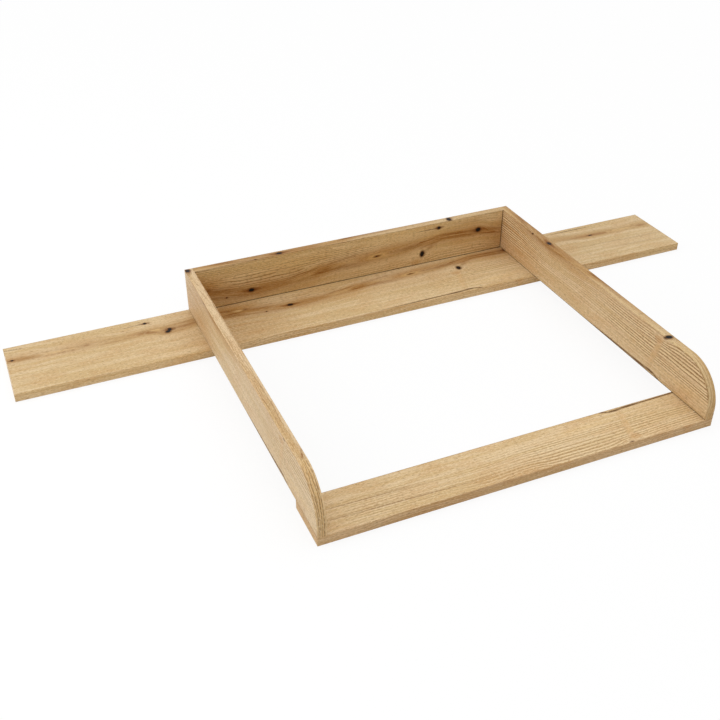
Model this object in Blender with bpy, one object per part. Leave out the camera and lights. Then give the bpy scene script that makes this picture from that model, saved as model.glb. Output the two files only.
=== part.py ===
"""Dresser top changer: a frame of decor boards that stands on a chest of drawers.

Two upright side panels with a rounded front corner, and a back panel between them, stand on a front
board and on a long rear plank. The sides' lower edges rest on the dresser between those two boards.
The origin is in the middle of the footprint, at the boards' undersides: +X along the plank, +Y to the
wall, +Z up.
"""

import math

import bmesh
import bpy
from mathutils import Matrix, Vector

# Boards
BOARD_THICKNESS = 0.018
FRAME_WIDTH = 0.800
SIDE_HEIGHT = 0.100
FRONT_BOARD_DEPTH = 0.100
DRESSER_SLOT_DEPTH = 0.502
PLANK_DEPTH = 0.176
PLANK_LENGTH = 1.596
CORNER_LIP_HEIGHT = 0.018

# Edge bands
BAND_THICKNESS = 0.001
BAND_EDGE_RADIUS = 0.0006

# Clearance between pieces that touch, overrun of a cut, and points taken as one
FIT_GAP = 0.0003
CUT_OVERRUN = 0.002
MERGE_DISTANCE = 0.000001

# Confirmat screw
SCREW_LENGTH = 0.050
SCREW_HEAD_DIAMETER = 0.0100
SCREW_HEAD_RIM = 0.0008
SCREW_SHOULDER_DIAMETER = 0.0070
SCREW_SHOULDER_LENGTH = 0.0120
SCREW_THREAD_DIAMETER = 0.0064
SCREW_TIP_DIAMETER = 0.0040
SCREW_TIP_LENGTH = 0.0050
SCREW_SOCKET_WIDTH = 0.0040
SCREW_SOCKET_DEPTH = 0.0030

# Fluted dowel
DOWEL_DIAMETER = 0.0080
DOWEL_LENGTH = 0.0300
DOWEL_FACE_DEPTH = 0.0110
DOWEL_FLUTE_DEPTH = 0.00025
DOWEL_CHAMFER = 0.0010

# Cam housing
CAM_DIAMETER = 0.0150
CAM_BORE_FLOOR = 0.0045
CAM_WALL = 0.0032
CAM_THROW = 0.0012
CAM_CHAMFER = 0.0005
CAM_DRIVE_WIDTH = 0.0012
CAM_DRIVE_LENGTH = 0.0080
CAM_DRIVE_DEPTH = 0.0018

# Cam bolt
BOLT_REACH = 0.024
BOLT_BALL_DIAMETER = 0.0070
BOLT_NECK_DIAMETER = 0.0036
BOLT_SHANK_DIAMETER = 0.0060
BOLT_COLLAR_DIAMETER = 0.0076
BOLT_COLLAR_LENGTH = 0.0015
BOLT_THREAD_DIAMETER = 0.0054
BOLT_THREAD_LENGTH = 0.0110
BOLT_CHAMFER = 0.0006

# Places of the fasteners, from the edges of the boards that they join
FRONT_SCREW_INSET = 0.025
PLANK_SCREW_INSET = 0.040
BACK_SCREW_PITCH = 0.250
END_DOWEL_INSET = 0.018

# Counts, and places along the back panel in pitches of its screws
CORNER_STEPS = 40
BAND_EDGE_STEPS = 2
ROUND_STEPS = 18
BALL_STEPS = 8
FLUTES = 14
HEX_SIDES = 6
BACK_SCREW_SHARES = (-1, 0, 1)
BACK_DOWEL_SHARES = (-0.5, 0.5)
SMOOTH_BELOW = math.radians(40)

# Worked out from the sizes above
TOTAL_DEPTH = FRONT_BOARD_DEPTH + DRESSER_SLOT_DEPTH + PLANK_DEPTH
FRONT_Y = -TOTAL_DEPTH / 2
REAR_Y = TOTAL_DEPTH / 2
SLOT_FRONT_Y = FRONT_Y + FRONT_BOARD_DEPTH
SLOT_REAR_Y = REAR_Y - PLANK_DEPTH
FOOT_Z = BOARD_THICKNESS + FIT_GAP
TOP_Z = BOARD_THICKNESS + SIDE_HEIGHT
MIDDLE_Z = (FOOT_Z + TOP_Z) / 2
SIDE_CENTRE_X = (FRAME_WIDTH - BOARD_THICKNESS) / 2
SIDE_INNER_X = FRAME_WIDTH / 2 - BOARD_THICKNESS
BACK_CENTRE_Y = REAR_Y - BOARD_THICKNESS / 2
CORNER_RADIUS = SIDE_HEIGHT - CORNER_LIP_HEIGHT
BAND_SEAT = BAND_THICKNESS + FIT_GAP
CAM_HEIGHT = BOARD_THICKNESS - CAM_BORE_FLOOR - 2 * FIT_GAP
CAM_BOLT_LEVEL = BOARD_THICKNESS / 2 - CAM_BORE_FLOOR - FIT_GAP
CAM_WALL_REACH = CAM_DIAMETER / 2 - CAM_WALL

# Finishes: linear colour, roughness, metallic value
OAK_DECOR = ((0.56, 0.36, 0.20), 0.55, 0.0)
OAK_EDGE_BAND = ((0.62, 0.42, 0.24), 0.45, 0.0)
ZINC_PLATED_STEEL = ((0.62, 0.62, 0.60), 0.35, 1.0)
ZINC_DIE_CAST = ((0.48, 0.48, 0.47), 0.50, 1.0)
BEECH = ((0.68, 0.46, 0.27), 0.65, 0.0)

# How a board's own length, width and thickness lie in the world
LYING = Matrix.Identity(3)
STANDING_ALONG_Y = Matrix(((0, 0, 1), (1, 0, 0), (0, 1, 0)))
STANDING_ALONG_X = Matrix(((1, 0, 0), (0, 0, -1), (0, 1, 0)))


def clear_scene():
    for old in list(bpy.data.objects):
        bpy.data.objects.remove(old, do_unlink=True)


def material(name, finish):
    """A plain finish with its colour, its roughness and whether it is metal."""
    colour, roughness, metallic = finish
    made = bpy.data.materials.new(name)
    made.use_nodes = True
    shader = made.node_tree.nodes["Principled BSDF"]
    shader.inputs["Base Color"].default_value = (*colour, 1.0)
    shader.inputs["Roughness"].default_value = roughness
    shader.inputs["Metallic"].default_value = metallic
    return made


def closed_mesh(bm, name):
    """The mesh of a shape whose faces all point out, smooth where it turns gently."""
    bmesh.ops.remove_doubles(bm, verts=bm.verts, dist=MERGE_DISTANCE)
    bmesh.ops.recalc_face_normals(bm, faces=bm.faces)
    mesh = bpy.data.meshes.new(name)
    bm.to_mesh(mesh)
    bm.free()
    mesh.shade_smooth()
    mesh.set_sharp_from_angle(angle=SMOOTH_BELOW)
    return mesh


def placed(name, mesh, origin, turn):
    """An object that shows the mesh at its place."""
    piece = bpy.data.objects.new(name, mesh)
    piece.matrix_world = Matrix.Translation(origin) @ turn.to_4x4()
    bpy.context.scene.collection.objects.link(piece)
    return piece


def cut(pieces, name, mesh, origin, turn):
    """Takes a tool's shape out of each of the pieces."""
    tool = placed(name, mesh, origin, turn)
    tool.hide_render = True
    tool.display_type = "WIRE"
    for piece in pieces:
        hole = piece.modifiers.new(name, "BOOLEAN")
        hole.operation = "DIFFERENCE"
        hole.solver = "EXACT"
        hole.object = tool


def slab(outline, thickness):
    """A plate with its outline in the XY plane and its thickness along +Z."""
    bm = bmesh.new()
    corners = [bm.verts.new((x, y, 0)) for x, y in outline]
    raised = bmesh.ops.extrude_face_region(bm, geom=[bm.faces.new(corners)])
    top = [v for v in raised["geom"] if isinstance(v, bmesh.types.BMVert)]
    bmesh.ops.translate(bm, verts=top, vec=(0, 0, thickness))
    return bm


def loft(rings):
    """A closed shape through rings that all have the same number of points, lowest first."""
    bm = bmesh.new()
    loops = [[bm.verts.new(point) for point in points] for points in rings]
    for lower, upper in zip(loops, loops[1:]):
        for i, corner in enumerate(lower):
            bm.faces.new((lower[i - 1], corner, upper[i], upper[i - 1]))
    bm.faces.new(list(reversed(loops[0])))
    bm.faces.new(loops[-1])
    return bm


def ring(reaches, height):
    """A ring of points about +Z, one for each reach from the axis."""
    points = []
    for i, reach in enumerate(reaches):
        angle = math.tau * i / len(reaches)
        points.append((reach * math.cos(angle), reach * math.sin(angle), height))
    return points


def circle(diameter, height, steps=ROUND_STEPS):
    return ring([diameter / 2] * steps, height)


def hexagon(width, height):
    """A hexagon, by its width across flats, with as many points as a circle has."""
    side = math.tau / HEX_SIDES
    angles = [math.tau * i / ROUND_STEPS for i in range(ROUND_STEPS)]
    return ring([width / 2 / math.cos(a % side - side / 2) for a in angles], height)


def fluted(diameter, height):
    """A circle with shallow grooves."""
    radius = diameter / 2
    return ring([radius, radius - DOWEL_FLUTE_DEPTH] * FLUTES, height)


def turned(name, profile):
    """A round shape about +Z from (diameter, height) pairs, lowest first."""
    return closed_mesh(loft([circle(*pair) for pair in profile]), name)


def side_path(inset):
    """The side panel's edge from its top rear corner, over the round, to the foot of its front."""
    radius = CORNER_RADIUS - inset
    centre_y = FRONT_Y + CORNER_RADIUS
    centre_z = TOP_Z - CORNER_RADIUS
    path = [(REAR_Y, TOP_Z - inset)]
    for i in range(CORNER_STEPS + 1):
        angle = math.pi / 2 * (1 + i / CORNER_STEPS)
        path.append((centre_y + radius * math.cos(angle), centre_z + radius * math.sin(angle)))
    path.append((FRONT_Y + inset, FOOT_Z))
    return path


def side_outline():
    """The side panel inside its bands."""
    path = side_path(BAND_SEAT)
    rear = REAR_Y - BAND_SEAT
    low = FOOT_Z + BAND_SEAT
    return [(rear, path[0][1]), *path[1:-1], (path[-1][0], low), (rear, low)]


def rectangle(x0, x1, y0, y1):
    return [(x0, y0), (x1, y0), (x1, y1), (x0, y1)]


def board(name, outline, origin, turn):
    """One decor board, cut to its outline."""
    mesh = closed_mesh(slab(outline, BOARD_THICKNESS), name)
    mesh.materials.append(material(name, OAK_DECOR))
    return placed(name, mesh, origin, turn)


def whole_steps(point):
    """A point's place in merge distances, so that equal points compare equal."""
    return tuple(round(value / MERGE_DISTANCE) for value in point[:2])


def outer_rims(bm, outer, free_ends):
    """The edges round a band's outer face, without the end edges that another piece covers."""
    on_face = {whole_steps(point) for point in outer}
    on_ends = {whole_steps(point) for point in free_ends}
    rims = []
    for edge in bm.edges:
        first, second = (whole_steps(v.co) for v in edge.verts)
        along = first != second and {first, second} <= on_face
        across = first == second and first in on_ends
        if along or across:
            rims.append(edge)
    return rims


def band(name, outer, inner, free_ends, origin, turn):
    """An edge band as wide as its board is thick, with the rims of its outer face rounded."""
    bm = slab([*outer, *reversed(inner)], BOARD_THICKNESS)
    bmesh.ops.bevel(
        bm,
        geom=outer_rims(bm, outer, free_ends),
        offset=BAND_EDGE_RADIUS,
        segments=BAND_EDGE_STEPS,
        profile=0.5,
        affect="EDGES",
    )
    mesh = closed_mesh(bm, name)
    mesh.materials.append(material(name, OAK_EDGE_BAND))
    return placed(name, mesh, origin, turn)


def straight_band(name, start, end, outward, free_ends, origin, turn):
    """A band on a straight edge, its outer face from start to end."""
    outer = [start, end]
    inner = [
        (x - outward[0] * BAND_THICKNESS, y - outward[1] * BAND_THICKNESS) for x, y in outer
    ]
    return band(name, outer, inner, free_ends, origin, turn)


def side_panel(side, x):
    """An upright side with its three bands; x is its face towards -X. Returns what is drilled."""
    place = (Vector((x, 0, 0)), STANDING_ALONG_Y)
    rear_top = TOP_Z - BAND_SEAT
    front_foot = FRONT_Y + BAND_SEAT
    rear_foot = REAR_Y - BAND_SEAT
    core = board(f"{side}_side_panel", side_outline(), *place)
    top = side_path(0)
    band(f"{side}_side_top_band", top, side_path(BAND_THICKNESS), top[:1], *place)
    rear = ((REAR_Y, FOOT_Z), (REAR_Y, rear_top))
    straight_band(f"{side}_side_rear_band", *rear, (1, 0), (), *place)
    lower = ((front_foot, FOOT_Z), (rear_foot, FOOT_Z))
    foot = straight_band(f"{side}_side_lower_band", *lower, (0, -1), (), *place)
    return core, foot


def back_panel():
    """The upright back between the sides, banded along its top."""
    place = (Vector((0, REAR_Y, 0)), STANDING_ALONG_X)
    half = SIDE_INNER_X - FIT_GAP
    core = board("back_panel", rectangle(-half, half, FOOT_Z, TOP_Z - BAND_SEAT), *place)
    straight_band("back_panel_top_band", (-half, TOP_Z), (half, TOP_Z), (0, 1), (), *place)
    return core


def flat_board(name, length, front, rear):
    """A lying board banded all round; its long bands cover the ends of the short ones."""
    place = (Vector((0, 0, 0)), LYING)
    half = length / 2
    core_half = half - BAND_SEAT
    core_front = front + BAND_SEAT
    core_rear = rear - BAND_SEAT
    core = board(name, rectangle(-core_half, core_half, core_front, core_rear), *place)
    for end, y, outward in (("front", front, -1), ("rear", rear, 1)):
        corners = ((-half, y), (half, y))
        straight_band(f"{name}_{end}_band", *corners, (0, outward), corners, *place)
    for end, x, outward in (("left", -half, -1), ("right", half, 1)):
        corners = ((x, core_front), (x, core_rear))
        straight_band(f"{name}_{end}_band", *corners, (outward, 0), (), *place)
    return core


def confirmat_screw():
    """A screw about +Z with its countersunk head down and a hexagon socket in the head."""
    cone_top = SCREW_HEAD_RIM + (SCREW_HEAD_DIAMETER - SCREW_SHOULDER_DIAMETER) / 2
    shoulder_top = cone_top + SCREW_SHOULDER_LENGTH
    thread_start = shoulder_top + SCREW_SHOULDER_DIAMETER - SCREW_THREAD_DIAMETER
    rings = [
        hexagon(SCREW_SOCKET_WIDTH, SCREW_SOCKET_DEPTH),
        hexagon(SCREW_SOCKET_WIDTH, 0),
        circle(SCREW_HEAD_DIAMETER, 0),
        circle(SCREW_HEAD_DIAMETER, SCREW_HEAD_RIM),
        circle(SCREW_SHOULDER_DIAMETER, cone_top),
        circle(SCREW_SHOULDER_DIAMETER, shoulder_top),
        circle(SCREW_THREAD_DIAMETER, thread_start),
        circle(SCREW_THREAD_DIAMETER, SCREW_LENGTH - SCREW_TIP_LENGTH),
        circle(SCREW_TIP_DIAMETER, SCREW_LENGTH),
    ]
    mesh = closed_mesh(loft(rings), "confirmat_screw")
    mesh.materials.append(material("confirmat_screw", ZINC_PLATED_STEEL))
    return mesh


def screw_drill():
    """What is drilled for a screw: its countersink and one hole through both boards."""
    cone_top = SCREW_HEAD_RIM + (SCREW_HEAD_DIAMETER - SCREW_SHOULDER_DIAMETER) / 2
    head = SCREW_HEAD_DIAMETER + 2 * FIT_GAP
    hole = SCREW_SHOULDER_DIAMETER + 2 * FIT_GAP
    profile = [
        (head, -FIT_GAP - CUT_OVERRUN),
        (head, SCREW_HEAD_RIM),
        (hole, cone_top),
        (hole, SCREW_LENGTH + FIT_GAP),
    ]
    return turned("screw_drill", profile)


def fluted_dowel():
    """A dowel about +Z with chamfered ends; the part below 0 sits in a board's face."""
    foot = -DOWEL_FACE_DEPTH
    top = foot + DOWEL_LENGTH
    tip = DOWEL_DIAMETER - 2 * DOWEL_CHAMFER
    rings = [
        circle(tip, foot, 2 * FLUTES),
        fluted(DOWEL_DIAMETER, foot + DOWEL_CHAMFER),
        fluted(DOWEL_DIAMETER, top - DOWEL_CHAMFER),
        circle(tip, top, 2 * FLUTES),
    ]
    mesh = closed_mesh(loft(rings), "fluted_dowel")
    mesh.materials.append(material("fluted_dowel", BEECH))
    return mesh


def dowel_drill():
    """The two blind holes of a dowel, one in a board's face and one in the next board's edge."""
    hole = DOWEL_DIAMETER + 2 * FIT_GAP
    foot = -DOWEL_FACE_DEPTH - FIT_GAP
    return turned("dowel_drill", [(hole, foot), (hole, foot + DOWEL_LENGTH + 2 * FIT_GAP)])


def cam_bolt():
    """A bolt about +Z from the side panel's face: thread, collar, shank, neck and ball head."""
    radius = BOLT_BALL_DIAMETER / 2
    centre = BOLT_REACH - CAM_WALL_REACH + FIT_GAP + radius
    neck_foot = BOLT_REACH - CAM_DIAMETER / 2 - FIT_GAP
    neck_angle = math.asin(BOLT_NECK_DIAMETER / BOLT_BALL_DIAMETER)
    thread_tip = BOLT_THREAD_DIAMETER - 2 * BOLT_CHAMFER
    collar_top = FIT_GAP + BOLT_COLLAR_LENGTH
    profile = [
        (thread_tip, -BOLT_THREAD_LENGTH),
        (BOLT_THREAD_DIAMETER, BOLT_CHAMFER - BOLT_THREAD_LENGTH),
        (BOLT_THREAD_DIAMETER, FIT_GAP),
        (BOLT_COLLAR_DIAMETER, FIT_GAP),
        (BOLT_COLLAR_DIAMETER, collar_top),
        (BOLT_SHANK_DIAMETER, collar_top),
        (BOLT_SHANK_DIAMETER, neck_foot - BOLT_CHAMFER),
        (BOLT_NECK_DIAMETER, neck_foot),
    ]
    for i in range(BALL_STEPS):
        angle = neck_angle + (math.pi - neck_angle) * i / BALL_STEPS
        height = centre - radius * math.cos(angle)
        profile.append((BOLT_BALL_DIAMETER * math.sin(angle), height))
    mesh = turned("cam_bolt", profile)
    mesh.materials.append(material("cam_bolt", ZINC_PLATED_STEEL))
    return mesh


def bolt_drill():
    """The thread's hole in the side panel and the collar's bore in the end of the back panel."""
    thread = BOLT_THREAD_DIAMETER + 2 * FIT_GAP
    collar = BOLT_COLLAR_DIAMETER + 2 * FIT_GAP
    profile = [
        (thread, -BOLT_THREAD_LENGTH - FIT_GAP),
        (thread, 0),
        (collar, 0),
        (collar, BOLT_REACH),
    ]
    return turned("bolt_drill", profile)


def cam_casting():
    """The cam about +Z, open end up, before its chamber, slot and drive are cut."""
    rim = CAM_DIAMETER - 2 * CAM_CHAMFER
    profile = [
        (rim, 0),
        (CAM_DIAMETER, CAM_CHAMFER),
        (CAM_DIAMETER, CAM_HEIGHT - CAM_CHAMFER),
        (rim, CAM_HEIGHT),
    ]
    mesh = turned("cam_housing", profile)
    mesh.materials.append(material("cam_housing", ZINC_DIE_CAST))
    return mesh


def cam_chamber():
    """The room for the bolt's head, off the cam's axis so that turning the cam draws the bolt in."""
    half = BOLT_BALL_DIAMETER / 2 + FIT_GAP
    bore = 2 * CAM_WALL_REACH + CAM_THROW
    bm = loft([circle(bore, CAM_BOLT_LEVEL - half), circle(bore, CAM_BOLT_LEVEL + half)])
    bmesh.ops.translate(bm, verts=bm.verts, vec=(CAM_THROW / 2, 0, 0))
    return closed_mesh(bm, "cam_chamber")


def cam_entry():
    """The way in for the bolt's head, through the cam's wall along +X."""
    bore = BOLT_BALL_DIAMETER + 2 * FIT_GAP
    bm = loft([circle(bore, 0), circle(bore, CAM_DIAMETER)])
    bmesh.ops.rotate(bm, verts=bm.verts, matrix=Matrix.Rotation(math.pi / 2, 3, "Y"))
    bmesh.ops.translate(bm, verts=bm.verts, vec=(0, 0, CAM_BOLT_LEVEL))
    return closed_mesh(bm, "cam_entry")


def cam_slot():
    """The slot in the cam's wall for the bolt's neck, from the entry half way round to -X."""
    half = BOLT_NECK_DIAMETER / 2 + FIT_GAP
    reach = CAM_DIAMETER
    angles = [math.pi * i / ROUND_STEPS for i in range(ROUND_STEPS + 1)]
    sweep = [(reach * math.cos(a), reach * math.sin(a)) for a in angles]
    bm = slab([*sweep, (-reach, -half), (reach, -half)], 2 * half)
    bmesh.ops.translate(bm, verts=bm.verts, vec=(0, 0, CAM_BOLT_LEVEL - half))
    return closed_mesh(bm, "cam_slot")


def cam_drive():
    """One arm of the screwdriver's cross in the cam's open end."""
    half_length = CAM_DRIVE_LENGTH / 2
    half_width = CAM_DRIVE_WIDTH / 2
    arm = rectangle(-half_length, half_length, -half_width, half_width)
    bm = slab(arm, CAM_DRIVE_DEPTH + CUT_OVERRUN)
    bmesh.ops.translate(bm, verts=bm.verts, vec=(0, 0, CAM_HEIGHT - CAM_DRIVE_DEPTH))
    return closed_mesh(bm, "cam_drive")


def cam_drill():
    """The blind bore for the cam, open towards the back panel's rear face."""
    bore = CAM_DIAMETER + 2 * FIT_GAP
    depth = BOARD_THICKNESS - CAM_BORE_FLOOR
    return turned("cam_drill", [(bore, 0), (bore, depth + CUT_OVERRUN)])


def cam_housing(side, sign, back):
    """A cam sunk in the back panel's rear face, turned so that its slot holds the bolt's neck."""
    x = sign * (SIDE_INNER_X - BOLT_REACH)
    floor = REAR_Y - BOARD_THICKNESS + CAM_BORE_FLOOR
    facing = Matrix.Rotation(-math.pi / 2, 3, "X")
    if sign > 0:
        facing = facing @ Matrix.Rotation(math.pi, 3, "Z")
    cut([back], f"{side}_cam_drill", cam_drill(), Vector((x, floor, MIDDLE_Z)), facing)
    seat = Vector((x, floor + FIT_GAP, MIDDLE_Z))
    cam = placed(f"{side}_cam_housing", cam_casting(), seat, facing)
    for tool in (cam_chamber(), cam_entry(), cam_slot(), cam_drive()):
        cut([cam], f"{side}_{tool.name}", tool, seat, facing)
    crossed = facing @ Matrix.Rotation(math.pi / 2, 3, "Z")
    cut([cam], f"{side}_cam_cross_drive", cam_drive(), seat, crossed)


def fasten(name, mesh, drill, places, turn, boards):
    """Puts a fastener at each place and drills the boards for it."""
    for number, origin in enumerate(places, 1):
        label = f"{name}_{number}" if len(places) > 1 else name
        placed(label, mesh, origin, turn)
        cut(boards, f"{label}_drill", drill, origin, turn)


def join_from_below(name, screw, dowel, line, ends, boards):
    """Screws near both ends of a joint and a dowel half way, all from the flat board upwards."""
    screws = [Vector((line, y, FIT_GAP)) for y in ends]
    fasten(f"{name}_screw", *screw, screws, LYING, boards)
    middle = [Vector((line, sum(ends) / len(ends), BOARD_THICKNESS))]
    fasten(f"{name}_dowel", *dowel, middle, LYING, boards)


def join_back_end(side, sign, bolt, dowel, panel, back):
    """Two dowels and a cam with its bolt between a side panel and the end of the back panel."""
    turn = Matrix.Rotation(-sign * math.pi / 2, 3, "Y")
    x = sign * SIDE_INNER_X
    heights = (FOOT_Z + END_DOWEL_INSET, TOP_Z - END_DOWEL_INSET)
    dowels = [Vector((x, BACK_CENTRE_Y, z)) for z in heights]
    fasten(f"{side}_end_dowel", *dowel, dowels, turn, (panel, back))
    middle = [Vector((x, BACK_CENTRE_Y, MIDDLE_Z))]
    fasten(f"{side}_cam_bolt", *bolt, middle, turn, (panel, back))
    cam_housing(side, sign, back)


def main():
    clear_scene()
    front = flat_board("front_board", FRAME_WIDTH, FRONT_Y, SLOT_FRONT_Y)
    plank = flat_board("rear_plank", PLANK_LENGTH, SLOT_REAR_Y, REAR_Y)
    back = back_panel()
    screw = (confirmat_screw(), screw_drill())
    dowel = (fluted_dowel(), dowel_drill())
    bolt = (cam_bolt(), bolt_drill())

    front_ends = (FRONT_Y + FRONT_SCREW_INSET, SLOT_FRONT_Y - FRONT_SCREW_INSET)
    plank_ends = (SLOT_REAR_Y + PLANK_SCREW_INSET, REAR_Y - PLANK_SCREW_INSET)
    for side, sign, low_x in (("left", -1, -FRAME_WIDTH / 2), ("right", 1, SIDE_INNER_X)):
        core, foot = side_panel(side, low_x)
        line = sign * SIDE_CENTRE_X
        join_from_below(f"{side}_front", screw, dowel, line, front_ends, (front, core, foot))
        join_from_below(f"{side}_rear", screw, dowel, line, plank_ends, (plank, core, foot))
        join_back_end(side, sign, bolt, dowel, core, back)

    screws = [Vector((BACK_SCREW_PITCH * k, BACK_CENTRE_Y, FIT_GAP)) for k in BACK_SCREW_SHARES]
    fasten("back_screw", *screw, screws, LYING, (plank, back))
    dowels = [
        Vector((BACK_SCREW_PITCH * k, BACK_CENTRE_Y, BOARD_THICKNESS)) for k in BACK_DOWEL_SHARES
    ]
    fasten("back_dowel", *dowel, dowels, LYING, (plank, back))


main()
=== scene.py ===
"""Looks of the dresser top changer: oak decor boards, their edge bands and the fasteners inside them.

Every board is cut from one printed decor. The print is drawn once, in millimetres along and across its
grain, and each board and band takes its own window of it, as the photograph's boards do: the same knots
come back on the plank, on the back and on the bands.
"""

import math

import bmesh
import bpy
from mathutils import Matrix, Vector


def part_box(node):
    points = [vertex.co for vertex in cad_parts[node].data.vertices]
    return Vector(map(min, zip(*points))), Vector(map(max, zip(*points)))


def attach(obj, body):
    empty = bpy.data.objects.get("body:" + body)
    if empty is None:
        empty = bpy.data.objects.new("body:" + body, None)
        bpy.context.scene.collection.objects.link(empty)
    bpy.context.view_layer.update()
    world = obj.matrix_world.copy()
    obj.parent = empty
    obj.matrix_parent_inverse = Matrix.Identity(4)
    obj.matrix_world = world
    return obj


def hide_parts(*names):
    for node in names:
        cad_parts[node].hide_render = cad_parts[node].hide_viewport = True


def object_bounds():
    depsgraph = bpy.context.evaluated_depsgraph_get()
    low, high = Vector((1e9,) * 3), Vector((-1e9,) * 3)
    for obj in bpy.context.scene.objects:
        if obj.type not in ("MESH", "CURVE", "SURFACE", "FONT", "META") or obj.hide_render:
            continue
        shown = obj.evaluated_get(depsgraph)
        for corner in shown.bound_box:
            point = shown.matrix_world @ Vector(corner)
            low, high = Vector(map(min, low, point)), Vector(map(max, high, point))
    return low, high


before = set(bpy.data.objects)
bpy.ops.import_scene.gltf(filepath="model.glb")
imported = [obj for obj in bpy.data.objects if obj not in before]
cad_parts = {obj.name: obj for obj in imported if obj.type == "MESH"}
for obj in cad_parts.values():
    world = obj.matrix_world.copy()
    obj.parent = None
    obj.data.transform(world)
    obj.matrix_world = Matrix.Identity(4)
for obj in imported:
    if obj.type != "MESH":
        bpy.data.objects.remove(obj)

MM = 0.001
QUARTER_TURN = math.pi / 2
FULL_TURN = 2 * math.pi

# The CAD part's own measures
CAD_BOX = [list(corner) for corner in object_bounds()]
LOWEST = CAD_BOX[0][2]
CORNER_RADIUS = 82 * MM
BAND_THICKNESS = 1 * MM
BAND_EDGE_RADIUS = 0.6 * MM
CORNER_STEPS = 96
BAND_EDGE_STEPS = 3
SMOOTH_BELOW = math.radians(40)
ON_FACE = 0.02 * MM

# A soft turn from one value to another, and one colour laid over another by a share
SOFTLY = {"interpolation_type": "SMOOTHSTEP"}
TINT = {"data_type": "RGBA"}

# The photograph's camera
LENS_MM = 49.29
SENSOR_MM = 36
CAMERA_PLACE = (-0.7975, -1.4764, 1.1532)
CAMERA_DOWN = math.radians(34.212)
CAMERA_YAW = math.radians(23.499)

# The studio
FLOOR_SIZE = 9.0
FLOOR_DROP = 0.5 * MM
FLOOR_WHITE = "#E6E6E6"
WHITE = "#FFFFFF"
FLOOR_SHADOW_SHARE = 0.15
LAMP_PLACE = (-3.0, 0.3, 1.1)
LAMP_SIZE = 2.0
LAMP_WATTS = 23
SKY_OVERHEAD = 1.38
SKY_AT_HORIZON = 0.02

# The print, in millimetres along and across its grain. A path is a row of (along, level) points
PRINT_REACH = 2000
PATH_SPREAD = 100
# The heart's course across the grain, its level where it runs straight, and how far the grain on either
# side bends with it
HEART_LEVEL = 45
HEART_BEND_REACH = 42
HEART_PATH = (
    (-800, 53), (-740, 55), (-640, 55), (-560, 59), (-500, 60), (-462, 66), (-400, 58), (-342, 55),
    (-300, 57), (-240, 66), (-187, 70), (-130, 71), (-60, 66), (0, 57), (60, 52), (121, 51),
    (180, 48), (250, 39), (300, 35), (387, 36), (452, 52), (520, 40), (575, 48), (623, 53), (800, 55),
)
# How deep the heart lies under the board's face, and how broad its brown streak is
HEART_DEPTHS = (
    (-800, 10), (-740, 11), (-690, 18), (-635, 12), (-560, 17), (-500, 10), (-462, 7), (-410, 5),
    (-342, 8), (-290, 9), (-230, 3), (-187, 1), (-120, 5), (-60, 9), (0, 3), (60, 9),
    (121, 3), (170, 6), (240, 2), (300, 2), (387, 1), (452, 9), (520, 14), (575, 13), (623, 10),
    (669, 12), (720, 18), (774, 12), (800, 13), (1000, 30), (1960, 30),
)
HEART_REACH = 17
# How strong the straight-grained part's lines are along the print, in hundredths, then its middle, its
# reach, and the lines' own pitch and length
LINE_STRENGTHS = (
    (-800, 30), (-500, 30), (-377, 105), (-220, 95), (-120, 35), (40, 45), (90, 85), (225, 90),
    (240, 85), (400, 95), (450, 65), (560, 50), (700, 55), (800, 40),
)
LINE_LEVEL = 108
LINE_REACH = 32
LINE_PITCH = 6.3
LINE_LENGTH = 170
# The same for the fine lines on the heart's far side, which fade out past their level. The same fine
# lines also run among the others, so much weaker
FINE_STRENGTHS = (
    (-800, 35), (-420, 45), (-320, 95), (60, 90), (140, 50), (500, 40), (800, 40),
)
FINE_LEVEL = 50
FINE_FADE = 22
FINE_PITCH = 3.3
FINE_LENGTH = 70
FINE_AMONG_SHARE = 0.6
# How wide a line's dark stretches are, in pitches
STRETCH_PITCHES = 1.3
# The grain sets off anew at the healed seam below the tall knot: its lines lie closer together there,
# and spread to their own pitch again to the right of it
SEAM_ALONG = 240
SEAM_FAN_LENGTH = 75
SEAM_FAN_RISE = -0.6
SEAM_FAN_LEVEL = 95
SEAM_FAN_REACH = 30

# The print's drawn-out noises, long and wide in millimetres, and how far some of them move it aside
WANDER_SIZE = (230, 45)
WANDER_SWAY = 9.0
WAVER_SIZE = (500, 24)
WAVER_SWAY = 6.0
CLOUD_SIZE = (70, 26)
GROUND_SIZE = (260, 11)
RING_SIZE = (240, 2.6)
BOW_SIZE = (60, 8)
BOW_SWAY = 7.0
FRINGE_SIZE = (16, 1.8)
BOW_MIDDLE = 4.0
# Open pores are 0.2 mm wide and 2 to 6 mm long: drawn 0.9 mm wide and 10 mm long, so that they show
PORE_SIZE = (10, 0.9)
# The rays' flecks, and how far from the heart they are few and many
FLECK_SIZE = (5.0, 1.9)
FLECKS_FEW = 8.0
FLECKS_MANY = 40.0
# How the knots' edges fray: the noise's scale, and how far it moves the halo and the knot, in millimetres
FRAY_SCALE = 0.30
WIDE_FRAY = (9.0, 2.2, 0)
TIGHT_FRAY = (2.4, 2.0, 0)

# The inks
GROUND_LIGHT = "#E7CCA3"
GROUND_TAN = "#D8B988"
CLOUD_TAN = "#D4AA76"
AMBER = "#BC8237"
LINE_BROWN = "#8C5F2C"
LINE_PALE = "#F5E0B5"
SEAM_TAN = "#D2A068"
SEAM_BROWN = "#C08A4E"
HEART_BROWN = "#AC7633"
FLAME_BROWN = "#8C561A"
EYE_PALE = "#E8C488"
CORE_BROWN = "#7C4C1C"
PORE_BROWN = "#8C6539"
FLECK_PALE = "#F7E5BD"
SHAKE_BROWN = "#654324"
TAIL_BROWN = "#7C481A"
HALO_BROWN = "#6B3F18"
KNOT_BLACK = "#191512"
# Painted shade in the open joints
PAINTED_JOINT_SHADE = "#3F2610"
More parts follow.
